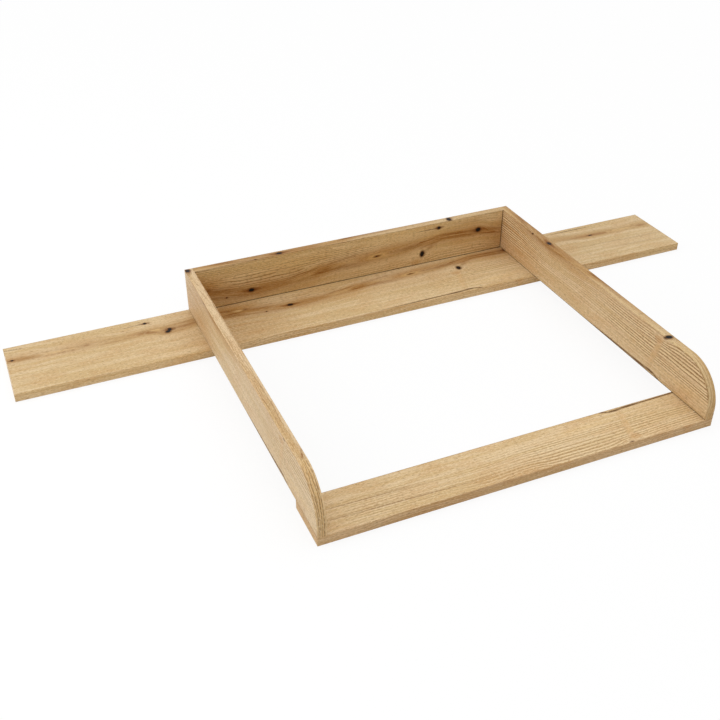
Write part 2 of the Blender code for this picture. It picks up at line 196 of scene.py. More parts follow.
# How much of each ink is laid on
LINE_SHARE = 0.85
LINE_PALE_SHARE = 0.7
SEAM_SHARE = 0.22
SEAM_BLOB_SHARE = 0.36
HEART_SHARE = 0.66
FLAME_SHARE = 0.78
EYE_SHARE = 0.8
CORE_SHARE = 0.9

# Marks: along, across, half length, half width, tilt in degrees
SEAM_BAND = (218, 121, 58, 8, 107)
SEAM_BLOB = (220, 89.5, 9.5, 8.5, 0)
KNOTS = (
    (-786, 53, 2.8, 2.4, 0),
    (-504, 20, 3.6, 3.2, 0),
    (-459.5, 63.5, 4.2, 5.0, 0),
    (-464.5, 70.5, 5.8, 4.4, -25),
    (-245, 77.5, 1.8, 1.3, 0),
    (-187, 70.5, 6.4, 4.2, 0),
    (119, 51.3, 2.6, 1.0, 0),
    (238, 70, 5.2, 7.4, 8),
    (280, 10, 4.2, 3.4, 0),
    (387, 36, 6.4, 5.4, 0),
    (622, 53, 4.4, 2.2, 0),
    (1108.5, 69.5, 5.6, 5.2, 0),
)
# How far round a knot the grain swerves, in the knot's own sizes, and by what share of the way
SWERVE_LENGTH = 5.0
SWERVE_WIDTH = 2.2
SWERVE_SHARE = 0.75
# The brown tails of the knots that lie in the grain, in the knot's own sizes
TAIL_LENGTH = 3.6
TAIL_WIDTH = 1.5
# Thin dark cracks
SHAKES = (
    (-780, 12.5, 26, 0.9, 4),
    (-530, 21, 30, 0.7, -2),
    (590, 11, 62, 1.3, 0),
    (100, 171.5, 110, 1.7, -1),
    (178, 170.5, 34, 2.6, -1),
    (214, 168.5, 16, 2.8, 2),
    (236, 172, 14, 1.8, 16),
    (256, 10.2, 36, 0.9, -1),
)
# The same five numbers, and how deep the mark's tone is: 1 is all of its ink
BROWN_STREAKS = (
    (-756, 55.5, 34, 5.0, 2, 0.35),
    (-720, 46.5, 34, 1.8, -1, 0.45),
    (-668, 51, 26, 2.0, 8, 0.45),
    (-700, 62.5, 46, 2.2, 1, 0.45),
    (-638, 56, 14, 6, 0, 0.55),
    (-585, 51, 50, 1.8, 0, 0.3),
    (-580, 66, 60, 2.2, 0, 0.3),
    (-512, 57, 28, 6, 3, 0.55),
    (-515, 50, 22, 1.8, -1, 0.5),
    (-503, 60.5, 20, 2.0, 19, 0.95),
    (-462, 66, 17, 13, -30, 0.45),
    (-420, 47, 26, 2.6, -6, 0.5),
    (-424, 61, 30, 5.5, -2, 0.75),
    (-395, 52, 18, 13, 0, 0.5),
    (-330, 43, 24, 5, 12, 1.0),
    (-276, 50, 64, 2.4, 12, 0.8),
    (-253, 59, 36, 7, 8, 0.6),
    (-318, 58, 28, 3.2, -4, 1.1),
    (-300, 71, 52, 3.2, 5, 0.8),
    (-262, 76, 34, 2.4, 6, 0.65),
    (-318, 66, 30, 5, 2, 0.85),
    (-165, 69, 18, 2.8, -4, 0.65),
    (-130, 70, 34, 5, 0, 0.45),
    (-205, 64, 18, 1.6, 16, 0.5),
    (-60, 54.5, 42, 1.8, -9, 0.7),
    (20, 43, 46, 2.0, -9, 0.7),
    (-16, 61, 26, 5.4, -12, 1.0),
    (34, 62, 44, 5, 1, 0.7),
    (-60, 68, 36, 2.8, -6, 0.35),
    (119, 43.6, 24, 1.5, -2, 0.75),
    (98, 47, 10, 2.6, -10, 0.55),
    (152, 49, 13, 4, 0, 0.5),
    (120, 58.2, 26, 1.5, 2, 0.7),
    (206, 47, 34, 4.6, -5, 1.1),
    (170, 48, 30, 3.2, -2, 0.55),
    (240, 39, 44, 2.0, -12, 0.9),
    (330, 33, 56, 3.2, 3, 1.15),
    (262, 49, 30, 2.6, -10, 0.8),
    (330, 43.5, 56, 2.8, 5, 0.9),
    (420, 50, 38, 2.8, 9, 1.0),
    (420, 40, 38, 3.2, 8, 0.8),
    (340, 40, 60, 6.5, 3, 0.7),
    (255, 60.5, 17, 5, -30, 0.6),
    (366, 10, 60, 2.0, 2, 0.35),
    (575, 52, 42, 5, 3, 0.45),
    (650, 55, 24, 5.5, 2, 0.5),
    (689, 46.5, 34, 1.8, -1, 0.4),
    (741, 51, 26, 2.0, 8, 0.4),
    (709, 62.5, 46, 2.2, 1, 0.4),
    (771, 56, 14, 6, 0, 0.5),
    (225, 121, 46, 1.0, 107, 0.25),
    (-225, 82, 100, 10, 2, 0.35),
    (1160, 71, 60, 1.0, 8, 0.5),
    (1240, 73.5, 75, 0.9, 4, 0.45),
    (1290, 81.2, 160, 1.0, 0, 0.8),
    (1560, 68.6, 240, 0.9, 0.3, 0.55),
    (1540, 72.4, 220, 0.8, 0.2, 0.5),
    (1590, 77.2, 200, 0.9, -0.2, 0.6),
    (1783, 76.6, 15, 2.4, -18, 1.1),
    (1790, 80, 26, 1.8, 0, 0.6),
)
# Thin crisp lines beyond the comb
LONE_LINES = (
    (690, 101.9, 160, 1.5, 2.1, 1.3),
    (745, 107.4, 80, 1.1, 2.1, 0.8),
    (728, 130.1, 100, 1.5, 2.0, 1.2),
    (690, 132.9, 70, 1.1, 2.0, 0.7),
)
# Painted shade: broad amber patches in the ground, placed where the inner corners lie in shade
PAINTED_CORNER_SHADE = (
    (-305, 128, 105, 56, 0, 0.38),
    (-320, 62, 48, 30, 0, 0.4),
    (450, 82, 90, 28, 0, 0.38),
    (70, 88, 330, 12, 0, 0.2),
)
# Amber glows round the eyes and along the heart
AMBER_GLOWS = (
    (-312, 33, 56, 20, 6, 0.6),
    (118, 48, 60, 13, -4, 0.25),
    (-30, 58, 60, 10, -8, 0.2),
    (360, 38, 90, 15, 2, 0.3),
    (-150, 71, 60, 8, 0, 0.15),
)
# Brown hearts of the pale eyes, and the lines that run round the left wrap
BROWN_CORES = (
    (121, 51, 11, 2.8, 0, 1.1),
    (-286, 51.5, 7, 2.6, 0, 0.9),
    (1870, 107.0, 95, 0.9, 0.3, 0.8),
    (1870, 110.6, 95, 0.8, 0, 0.7),
    (1870, 114.4, 95, 0.9, 0, 0.8),
    (1870, 118.6, 95, 0.9, -0.3, 0.8),
)
# Pale eyes between the flames, and the paler wood along the print's edge
PALE_EYES = (
    (-700, 55, 32, 4.2, 1, 0.4),
    (-488, 55, 11, 3.4, 10, 0.9),
    (121, 51, 23, 6.4, 0, 1.0),
    (-150, 10, 170, 26, 0, 0.5),
    (180, 4, 150, 22, 0, 0.45),
    (1870, 112, 110, 18, 0, 0.6),
    (-301, 50, 12, 3.8, 4, 0.9),
    (-55, 64, 26, 3, -8, 0.4),
    (34, 52, 30, 3, -6, 0.35),
    (118, 46, 14, 2.2, 0, 0.45),
    (262, 27, 44, 3.2, -8, 0.55),
    (330, 37.5, 50, 1.3, 3, 0.4),
    (303, 146, 70, 9, -3, 0.35),
    (709, 55, 32, 4.2, 1, 0.4),
)

# Windows of the print: (axis, sign, start in mm) of the board's own along and across
PLANK_WINDOW = (("X", 1, 0), ("Y", -1, 389))
BACK_WINDOW = (("X", 1, 71.5), ("Z", -1, 115))
SIDE_WINDOW = (("Y", -1, -6), ("Z", -1, 193))
FRONT_WINDOW = (("X", -1, 456), ("Y", 1, 464))
BACK_TOP_WINDOW = (("X", 1, 0), ("Y", -1, 449))
LONG_EDGE_WINDOW = (("X", 1, -120), ("Z", -1, 108))
SHORT_END_WINDOW = (("Y", 1, 300), ("Z", -1, 112))
SIDE_REAR_WINDOW = (("Z", 1, 330), ("X", 1, 500))
SIDE_LOWER_WINDOW = (("Y", 1, 120), ("X", 1, 500))
# Where the print starts on the two wrap bands, along and across. The left one is butted where the round
# starts, and its print sets off anew there, so much further across
RIGHT_WRAP_START = (-397, 59)
LEFT_WRAP_START = (1100, 64.5)
LEFT_ROUND_SHIFT = 40 * MM

# The open joint at a board's foot or end is 0.3 mm wide. Its shade is painted as a dark line 2.8 mm wide
# that fades away from the edge, so that it shows
JOINT_WIDTH = 2.8
JOINT_DEPTH = 1.0
# A joint's run from front to rear, its middle and half length: this one is longer than any board
WHOLE_RUN = (0, 400)

# A matt pressed skin gives back much less than bare melamine's gloss
SKIN_SPECULAR = 0.12
# Embossed pores are 0.2 mm wide: drawn 0.8 mm wide, so that they show
EMBOSS_SIZE = (9 * MM, 0.8 * MM)
EMBOSS_DEPTH = 0.08 * MM

# Chipboard's chips and crumbs, about 1.9 and 0.7 mm wide
CHIPS_PER_METRE = 520.0
CRUMBS_PER_METRE = 1400.0
CHIP_LIGHT = "#CFAF80"
CHIP_DARK = "#8C6B41"
CRUMB_PALE = "#E2CBA0"

# Zinc's crystals are hundredths of a millimetre: drawn 0.5 mm wide, so that they show. Its dull patches
# are about 3 mm wide
CRYSTALS_PER_METRE = 2000.0
PATCHES_PER_METRE = 320.0
ZINC_DULL = "#9EA3A6"
ZINC_PIT_DEPTH = 0.05 * MM
# Each zinc's tint and roughness
SCREW_ZINC = ("#C8CDD0", 0.32)
BOLT_ZINC = ("#C4C8C4", 0.36)
CAM_ZINC = ("#B4B6B6", 0.50)

# Beech's growth streaks and its ray flecks, long and wide in millimetres
BEECH_STREAK_SIZE = (14, 1.6)
BEECH_FLECK_SIZE = (2.2, 0.5)
BEECH_LIGHT = "#E0BE93"
BEECH_TAN = "#CDA678"
BEECH_FLECK = "#9B6E43"
BEECH_FLECK_DEPTH = 0.05 * MM

# Each board's decor, its window, how deep it is inked, how sharp its lines and its fine lines are (sheets
# of one decor differ a little), and the axis across its thickness
BOARDS = {
    "rear_plank": ("melamine_oak_plank", PLANK_WINDOW, "#F6F5F1", (0.45, 0.45), "Z"),
    "back_panel": ("melamine_oak_back", BACK_WINDOW, "#FFFAEA", (0.5, 1.2), "Y"),
    "left_side_panel": ("melamine_oak_left_side", SIDE_WINDOW, "#FAFBFF", (0.6, 1.0), "X"),
    "right_side_panel": ("melamine_oak_right_side", SIDE_WINDOW, "#FFFBF7", (1.2, 1.0), "X"),
    "front_board": ("melamine_oak_front_board", FRONT_WINDOW, "#FFFEFC", (0.72, 1.0), "Z"),
}
# How sharp the same two kinds of line are on the bands' rolls, the bent ones and the straight ones
WRAP_LINES = (1.0, 1.0)
BAND_LINES = (0.35, 0.35)
# How deep the bands' rolls are inked
BACK_TOP_TONE = "#EFEBE2"
FRONT_EDGE_TONE = "#F4EAE0"
PLANK_EDGE_TONE = "#FFFAF0"
RIGHT_WRAP_TONE = "#F8F5EB"
LEFT_WRAP_TONE = "#FBF8F5"


def colour(code):
    """An sRGB hex colour as the linear values that a shader takes."""
    channels = [int(code[i : i + 2], 16) / 255 for i in (1, 3, 5)]
    linear = [c / 12.92 if c <= 0.04045 else ((c + 0.055) / 1.055) ** 2.4 for c in channels]
    return (*linear, 1.0)


def add(tree, kind, *feeds, points=(), **settings):
    """Adds a node with its settings and its curve's points, and feeds its open sockets in turn."""
    made = tree.nodes.new(f"ShaderNode{kind}")
    for name, value in settings.items():
        setattr(made, name, value)
    if points:
        curve = made.mapping.curves[0]
        for place, level in points[1:-1]:
            curve.points.new(place, level)
        curve.points[0].location = points[0]
        curve.points[-1].location = points[-1]
        made.mapping.update()
    sockets = [socket for socket in made.inputs if socket.enabled]
    for socket, feed in zip(sockets, feeds):
        if isinstance(feed, bpy.types.Node):
            feed = next(outlet for outlet in feed.outputs if outlet.enabled)
        if isinstance(feed, bpy.types.NodeSocket):
            tree.links.new(feed, socket)
        elif feed is not None:
            socket.default_value = feed
    return made


def drawn_out(tree, place, length, width, detail=2.0):
    """Noise stretched along the grain, its marks about so long and so wide."""
    shrunk = add(tree, "Mapping", place, None, None, (1 / length, 1 / width, 1))
    return add(tree, "TexNoise", shrunk, 1.0, detail, 0.55, noise_dimensions="2D")


def followed(tree, along, path):
    """A value that follows a path of given (along, level) points, in millimetres."""
    share = add(tree, "MapRange", along, -PRINT_REACH, PRINT_REACH, 0.0, 1.0)
    points = [((a + PRINT_REACH) / PRINT_REACH / 2, level / PATH_SPREAD) for a, level in path]
    curve = add(tree, "FloatCurve", 1.0, share, points=points)
    return add(tree, "Math", curve, PATH_SPREAD, operation="MULTIPLY")


def bell(tree, value, reach):
    """1 where the value is 0, falling off to both sides."""
    share = add(tree, "Math", value, reach, operation="DIVIDE")
    square = add(tree, "Math", share, 2.0, operation="POWER")
    opposite = add(tree, "Math", square, -1.0, operation="MULTIPLY")
    return add(tree, "Math", opposite, operation="EXPONENT")


def reach_from(tree, place, mark, lengthen=1.0, widen=1.0):
    """How far a place is from a mark, in the mark's own half sizes."""
    along, across, half_length, half_width, tilt = mark[:5]
    cosine = math.cos(math.radians(tilt))
    sine = math.sin(math.radians(tilt))
    long_axis = Vector((cosine, sine, 0)) / (half_length * lengthen)
    wide_axis = Vector((-sine, cosine, 0)) / (half_width * widen)
    offset = add(tree, "VectorMath", place, (along, across, 0), operation="SUBTRACT")
    lengthways = add(tree, "VectorMath", offset, long_axis, operation="DOT_PRODUCT")
    widthways = add(tree, "VectorMath", offset, wide_axis, operation="DOT_PRODUCT")
    own = add(tree, "CombineXYZ", lengthways, widthways)
    return add(tree, "VectorMath", own, operation="LENGTH")


def nearest(tree, place, marks, lengthen=1.0, widen=1.0):
    """The least reach to any of the marks."""
    least = None
    for mark in marks:
        reach = reach_from(tree, place, mark, lengthen, widen)
        least = reach if least is None else add(tree, "Math", least, reach, operation="MINIMUM")
    return least


def deepest(tree, place, marks):
    """The deepest tone that any of the marks leaves at a place."""
    most = None
    for mark in marks:
        tone = add(tree, "MapRange", reach_from(tree, place, mark), 0.15, 1.7, mark[5], 0.0, **SOFTLY)
        most = tone if most is None else add(tree, "Math", most, tone, operation="MAXIMUM")
    return most


def heart_bend(tree, along, across):
    """How far the grain lies aside because it follows the heart."""
    heart = followed(tree, along, HEART_PATH)
    aside = add(tree, "Math", across, heart, operation="SUBTRACT")
    near = bell(tree, aside, HEART_BEND_REACH)
    lift = add(tree, "Math", heart, HEART_LEVEL, operation="SUBTRACT")
    return add(tree, "Math", lift, near, operation="MULTIPLY")


def knot_push(tree, across, place, knot):
    """How far a knot pushes the grain aside."""
    reach = reach_from(tree, place, knot, SWERVE_LENGTH, SWERVE_WIDTH)
    pull = bell(tree, reach, 1.0)
    offset = add(tree, "Math", across, knot[1], operation="SUBTRACT")
    push = add(tree, "Math", offset, pull, operation="MULTIPLY")
    return add(tree, "Math", push, SWERVE_SHARE, operation="MULTIPLY")


def seam_fan(tree, along, across):
    """How far the lines beyond the seam lie aside while they spread to their own pitch."""
    fan_end = SEAM_ALONG + SEAM_FAN_LENGTH
    fan = add(tree, "MapRange", along, SEAM_ALONG, fan_end, SEAM_FAN_RISE, 0.0, **SOFTLY)
    past = add(tree, "Math", along, SEAM_ALONG, operation="GREATER_THAN")
    fan = add(tree, "Math", fan, past, operation="MULTIPLY")
    level = add(tree, "Math", across, SEAM_FAN_LEVEL, operation="SUBTRACT")
    return add(tree, "Math", fan, bell(tree, level, SEAM_FAN_REACH), operation="MULTIPLY")


def grain_flow(tree, along, across, place):
    """Across as the grain counts it: it follows the heart, swerves round each knot and wanders."""
    flow = add(tree, "Math", across, heart_bend(tree, along, across), operation="SUBTRACT")
    for knot in KNOTS:
        flow = add(tree, "Math", flow, knot_push(tree, across, place, knot), operation="SUBTRACT")
    flow = add(tree, "Math", flow, seam_fan(tree, along, across), operation="SUBTRACT")
    wander = drawn_out(tree, place, *WANDER_SIZE)
    sway = add(tree, "Math", wander, 0.5, operation="SUBTRACT")
    sway = add(tree, "Math", sway, WANDER_SWAY, operation="MULTIPLY")
    return add(tree, "Math", flow, sway, operation="ADD")


def comb(tree, place, flow, pitch, length):
    """Dark lines a pitch apart across the grain and the pale ones between them, which come and go."""
    waver = drawn_out(tree, place, *WAVER_SIZE)
    waver = add(tree, "Math", waver, WAVER_SWAY, operation="MULTIPLY")
    turn = add(tree, "Math", flow, FULL_TURN / pitch, waver, operation="MULTIPLY_ADD")
    wave = add(tree, "Math", turn, operation="SINE")
    stretch = drawn_out(tree, place, length, pitch * STRETCH_PITCHES)
    stretch = add(tree, "MapRange", stretch, 0.28, 0.50, 0.0, 1.0, **SOFTLY)
    dark = add(tree, "MapRange", wave, 0.35, 1.0, 0.0, 1.0, **SOFTLY)
    dark = add(tree, "Math", dark, stretch, operation="MULTIPLY")
    pale = add(tree, "MapRange", wave, -0.6, 0.4, 1.0, 0.0, **SOFTLY)
    pale = add(tree, "Math", pale, stretch, operation="MULTIPLY")
    return dark, pale


def plain_wood(tree, board_place, ring_place):
    """The decor's ground: soft light and middle tan, in broad drawn-out clouds, with painted shade in amber
    where the inner corners lie in shade.
    """
    broad = drawn_out(tree, ring_place, *GROUND_SIZE, 3.0)
    tone = add(tree, "MapRange", broad, 0.36, 0.64, 0.0, 1.0, **SOFTLY)
    wood = add(tree, "Mix", tone, colour(GROUND_LIGHT), colour(GROUND_TAN), **TINT)
    cloud = drawn_out(tree, board_place, *CLOUD_SIZE)
    cloud = add(tree, "MapRange", cloud, 0.45, 0.68, 0.0, 0.35, **SOFTLY)
    wood = add(tree, "Mix", cloud, wood, colour(CLOUD_TAN), **TINT)
    # Painted shade: amber patches where the inner corners lie in shade
    warm = deepest(tree, board_place, PAINTED_CORNER_SHADE)
    return add(tree, "Mix", warm, wood, colour(AMBER), **TINT)


def line_strength(tree, along, flow, seam):
    """How strong the straight-grained part's lines are at a place: there are none where the seam healed."""
    aside = add(tree, "Math", flow, LINE_LEVEL, operation="SUBTRACT")
    zone = add(tree, "MapRange", bell(tree, aside, LINE_REACH), 0.12, 0.65, 0.0016, 0.01, **SOFTLY)
    level = followed(tree, along, LINE_STRENGTHS)
    strength = add(tree, "Math", zone, level, operation="MULTIPLY")
    healed = add(tree, "Math", 1.0, seam, operation="SUBTRACT")
    return add(tree, "Math", strength, healed, operation="MULTIPLY")


def latewood_lines(tree, wood, along, flow, grain_place, seam, lone, lines):
    """Lines of the straight-grained part beside the heart, and finer ones on the heart's far side."""
    strength = line_strength(tree, along, flow, seam)
    dark, pale = comb(tree, grain_place, flow, LINE_PITCH, LINE_LENGTH)
    thin, _ = comb(tree, grain_place, flow, FINE_PITCH, FINE_LENGTH)
    fine = add(tree, "Math", thin, FINE_AMONG_SHARE, operation="MULTIPLY")
    near = add(tree, "Math", dark, fine, operation="MAXIMUM")
    near = add(tree, "Math", near, strength, operation="MULTIPLY")
    far = add(tree, "MapRange", flow, FINE_LEVEL, FINE_LEVEL + FINE_FADE, 0.01, 0.0, **SOFTLY)
    far = add(tree, "Math", far, followed(tree, along, FINE_STRENGTHS), operation="MULTIPLY")
    far = add(tree, "Math", far, thin, operation="MULTIPLY")
    far = add(tree, "Math", far, lines[1], operation="MULTIPLY")
    near = add(tree, "Math", near, lone, operation="MAXIMUM")
    near = add(tree, "Math", near, lines[0], operation="MULTIPLY")
    dark = add(tree, "Math", near, far, operation="MAXIMUM")
    dark = add(tree, "Math", dark, LINE_SHARE, operation="MULTIPLY", use_clamp=True)
    wood = add(tree, "Mix", dark, wood, colour(LINE_BROWN), **TINT)
    pale = add(tree, "Math", pale, strength, operation="MULTIPLY")
    pale = add(tree, "Math", pale, LINE_PALE_SHARE, operation="MULTIPLY")
    pale = add(tree, "Math", pale, lines[0], operation="MULTIPLY", use_clamp=True)
    return add(tree, "Mix", pale, wood, colour(LINE_PALE), **TINT)


def healed_seam(tree, wood, seam, place):
    """The healed seam's warm band, with a browner blob just below the tall knot."""
    warm = add(tree, "Math", seam, SEAM_SHARE, operation="MULTIPLY")
    wood = add(tree, "Mix", warm, wood, colour(SEAM_TAN), **TINT)
    blob = reach_from(tree, place, SEAM_BLOB)
    blob = add(tree, "MapRange", blob, 0.5, 1.3, SEAM_BLOB_SHARE, 0.0, **SOFTLY)
    return add(tree, "Mix", blob, wood, colour(SEAM_BROWN), **TINT)


def bowed(tree, along, across, board_place):
    """A place that slow bows and a fine fringe move across the grain, so that no mark's edge is clean."""
    bow = drawn_out(tree, board_place, *BOW_SIZE)
    fringe = drawn_out(tree, board_place, *FRINGE_SIZE, 1.0)
    bow = add(tree, "Math", bow, BOW_SWAY, fringe, operation="MULTIPLY_ADD")
    bow = add(tree, "Math", bow, BOW_MIDDLE, operation="SUBTRACT")
    shifted = add(tree, "Math", across, bow, operation="ADD")
    return add(tree, "CombineXYZ", along, shifted)


def heart_figure(tree, wood, place, ring, ring_place):
    """The brown streak along the knots, with its flames and the pale eyes between them."""
    rings = drawn_out(tree, ring_place, *RING_SIZE)
    rings = add(tree, "MapRange", rings, 0.38, 0.62, 0.65, 1.15, **SOFTLY)
    streak = add(tree, "Math", bell(tree, ring, HEART_REACH), HEART_SHARE, operation="MULTIPLY")
    streak = add(tree, "Math", streak, rings, operation="MULTIPLY", use_clamp=True)
    wood = add(tree, "Mix", streak, wood, colour(HEART_BROWN), **TINT)
    glow = deepest(tree, place, AMBER_GLOWS)
    wood = add(tree, "Mix", glow, wood, colour(AMBER), **TINT)
    flame = deepest(tree, place, BROWN_STREAKS)
    flame = add(tree, "Math", flame, rings, operation="MULTIPLY")
    flame = add(tree, "Math", flame, FLAME_SHARE, operation="MULTIPLY", use_clamp=True)
    wood = add(tree, "Mix", flame, wood, colour(FLAME_BROWN), **TINT)
    eye = deepest(tree, place, PALE_EYES)
    eye = add(tree, "Math", eye, EYE_SHARE, operation="MULTIPLY")
    wood = add(tree, "Mix", eye, wood, colour(EYE_PALE), **TINT)
    core = deepest(tree, place, BROWN_CORES)
    core = add(tree, "Math", core, CORE_SHARE, operation="MULTIPLY", use_clamp=True)
    return add(tree, "Mix", core, wood, colour(CORE_BROWN), **TINT)


def pores_and_flecks(tree, wood, place, grain_place, ring):
    """Thin brown pores along the grain, and the short pale flecks of its rays, few of them in the heart."""
    pores = drawn_out(tree, grain_place, *PORE_SIZE, 1.0)
    pore = add(tree, "MapRange", pores, 0.54, 0.68, 0.0, 0.50, **SOFTLY)
    wood = add(tree, "Mix", pore, wood, colour(PORE_BROWN), **TINT)
    flecks = drawn_out(tree, place, *FLECK_SIZE)
    fleck = add(tree, "MapRange", flecks, 0.53, 0.70, 0.0, 1.0, **SOFTLY)
    share = add(tree, "MapRange", ring, FLECKS_FEW, FLECKS_MANY, 0.12, 0.42, **SOFTLY)
    fleck = add(tree, "Math", fleck, share, operation="MULTIPLY")
    return add(tree, "Mix", fleck, wood, colour(FLECK_PALE), **TINT)


def knots_and_shakes(tree, wood, place):
    """Black knots in brown halos, their tails where they lie in the grain, and thin dark shakes."""
    fray = add(tree, "TexNoise", place, FRAY_SCALE, 3.0, 0.6, noise_dimensions="2D")
    shift = add(tree, "VectorMath", fray.outputs["Color"], (0.5, 0.5, 0.5), operation="SUBTRACT")
    wide = add(tree, "VectorMath", shift, WIDE_FRAY, operation="MULTIPLY")
    frayed = add(tree, "VectorMath", place, wide, operation="ADD")
    shake = nearest(tree, frayed, SHAKES)
    shake = add(tree, "MapRange", shake, 0.3, 1.45, 0.95, 0.0, **SOFTLY)
    wood = add(tree, "Mix", shake, wood, colour(SHAKE_BROWN), **TINT)
    in_line = [knot for knot in KNOTS if knot[4] == 0]
    tail = nearest(tree, frayed, in_line, TAIL_LENGTH, TAIL_WIDTH)
    tail = add(tree, "MapRange", tail, 0.2, 1.3, 0.75, 0.0, **SOFTLY)
    wood = add(tree, "Mix", tail, wood, colour(TAIL_BROWN), **TINT)
    tight = add(tree, "VectorMath", shift, TIGHT_FRAY, operation="MULTIPLY")
    rough = add(tree, "VectorMath", place, tight, operation="ADD")
    knot = nearest(tree, rough, KNOTS)
    halo = add(tree, "MapRange", knot, 0.85, 1.9, 0.85, 0.0, **SOFTLY)
    wood = add(tree, "Mix", halo, wood, colour(HALO_BROWN), **TINT)
    heart = add(tree, "MapRange", knot, 0.75, 1.15, 1.0, 0.0, **SOFTLY)
    return add(tree, "Mix", heart, wood, colour(KNOT_BLACK), **TINT)


def heart_distance(tree, along, flow):
    """Growth rings: the distance from the heart, which dips under the board's face and comes back."""
    aside = add(tree, "Math", flow, HEART_LEVEL, operation="SUBTRACT")
    depth = followed(tree, along, HEART_DEPTHS)
    flat = add(tree, "CombineXYZ", aside, depth)
    return add(tree, "VectorMath", flat, operation="LENGTH")


def oak_print():
    """The oak decor's printed paper: its colour by place in metres."""
    tree = bpy.data.node_groups.new("oak_print", "ShaderNodeTree")
    for side, name, kind in (
        ("INPUT", "Along", "NodeSocketFloat"),
        ("INPUT", "Across", "NodeSocketFloat"),
        ("INPUT", "Lines", "NodeSocketFloat"),
        ("INPUT", "Fine lines", "NodeSocketFloat"),
        ("OUTPUT", "Colour", "NodeSocketColor"),
    ):
        tree.interface.new_socket(name, in_out=side, socket_type=kind)
    entry = tree.nodes.new("NodeGroupInput")
    along = add(tree, "Math", entry.outputs["Along"], 1 / MM, operation="MULTIPLY")
    across = add(tree, "Math", entry.outputs["Across"], 1 / MM, operation="MULTIPLY")
    place = add(tree, "CombineXYZ", along, across)
    flow = grain_flow(tree, along, across, place)
    ring = heart_distance(tree, along, flow)
    grain_place = add(tree, "CombineXYZ", along, flow)
    ring_place = add(tree, "CombineXYZ", along, ring)

    wood = plain_wood(tree, place, ring_place)
    seam = add(tree, "MapRange", reach_from(tree, place, SEAM_BAND), 0.3, 1.4, 1.0, 0.0, **SOFTLY)
    lone = deepest(tree, place, LONE_LINES)
    lines = (entry.outputs["Lines"], entry.outputs["Fine lines"])
    wood = latewood_lines(tree, wood, along, flow, grain_place, seam, lone, lines)
    wood = healed_seam(tree, wood, seam, place)
    wood = heart_figure(tree, wood, bowed(tree, along, across, place), ring, ring_place)
    wood = pores_and_flecks(tree, wood, place, grain_place, ring)
    wood = knots_and_shakes(tree, wood, place)
    outlet = tree.nodes.new("NodeGroupOutput")
    tree.links.new(wood.outputs[2], outlet.inputs["Colour"])
    return tree


def new_material(name):
    """An empty material: its tree and its shader."""
    made = bpy.data.materials.new(name)
    made.use_nodes = True
    return made, made.node_tree, made.node_tree.nodes["Principled BSDF"]


def pressed_sheen(tree, shader, along, across):
    """The press plate's emboss: shallow pores along the grain, duller than the skin between them."""
    place = add(tree, "CombineXYZ", along, across)
    emboss = drawn_out(tree, place, *EMBOSS_SIZE)
    pore = add(tree, "MapRange", emboss, 0.52, 0.68, 0.0, 1.0, **SOFTLY)
    dull = add(tree, "MapRange", pore, 0.0, 1.0, 0.46, 0.58)
    tree.links.new(dull.outputs[0], shader.inputs["Roughness"])
    shader.inputs["Specular IOR Level"].default_value = SKIN_SPECULAR
    bump = add(tree, "Bump", 0.35, EMBOSS_DEPTH, invert=True)
    tree.links.new(pore.outputs[0], bump.inputs["Height"])
    tree.links.new(bump.outputs[0], shader.inputs["Normal"])


def chipboard_core(tree, spot):
    """Particle board where it is cut or drilled: wood chips of 1 to 3 mm in glue, light and dark."""
    chips = add(tree, "TexVoronoi", spot.outputs["Object"], CHIPS_PER_METRE)
    parts = add(tree, "SeparateColor", chips.outputs["Color"])
    wood = add(tree, "Mix", parts, colour(CHIP_LIGHT), colour(CHIP_DARK), **TINT)
    crumbs = add(tree, "TexNoise", spot.outputs["Object"], CRUMBS_PER_METRE, 2.0, 0.6)
    crumb = add(tree, "MapRange", crumbs, 0.45, 0.65, 0.0, 0.6, **SOFTLY)
    return add(tree, "Mix", crumb, wood, colour(CRUMB_PALE), **TINT)


def flat_run(board):
    """A flat board's run from front to rear with its bands: its middle and half length in millimetres."""
    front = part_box(f"{board}_front_band")[0].y / MM
    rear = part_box(f"{board}_rear_band")[1].y / MM
    return (front + rear) / 2, (rear - front) / 2


def open_joints():
    """The open joints whose shade is painted on each piece: the axis across, the edge, the way in, and the
    joint's run.

    The feet are all level, and the left side's joint shows only over the two flat boards.
    """
    low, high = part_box("back_panel")
    foot = ("Z", low.z / MM, 1, *WHOLE_RUN)
    ends = (("X", low.x / MM, 1, *WHOLE_RUN), ("X", high.x / MM, -1, *WHOLE_RUN))
    left = [("Z", low.z / MM, 1, *flat_run(board)) for board in ("rear_plank", "front_board")]
    return {
        "back_panel": [foot, *ends],
        "left_side_panel": left,
        "left_side_lower_band": left,
        "right_side_panel": [foot],
        "right_side_lower_band": [foot],
    }


def painted_joint_shade(tree, spot, axes, face, joints):
    """A face's colour with painted shade: a dark line along the open joints at its edges, on upright faces
    only.
    """
    line = None
    for axis, edge, way, middle, half_run in joints:
        inside = (edge + way * JOINT_WIDTH) * MM
        share = add(tree, "MapRange", axes.outputs[axis], edge * MM, inside, JOINT_DEPTH, 0.0, **SOFTLY)
        run = add(tree, "Math", axes.outputs["Y"], middle * MM, half_run * MM, operation="COMPARE")
        share = add(tree, "Math", share, run, operation="MULTIPLY")
        line = share if line is None else add(tree, "Math", line, share, operation="MAXIMUM")
    # The painted shade is kept to upright faces
    facing = add(tree, "SeparateXYZ", spot.outputs["Normal"])
    level = add(tree, "Math", facing.outputs["Z"], operation="ABSOLUTE")
    upright = add(tree, "Math", 1.0, level, operation="SUBTRACT")
    line = add(tree, "Math", line, upright, operation="MULTIPLY")
    return add(tree, "Mix", line, face, colour(PAINTED_JOINT_SHADE), **TINT).outputs[2]


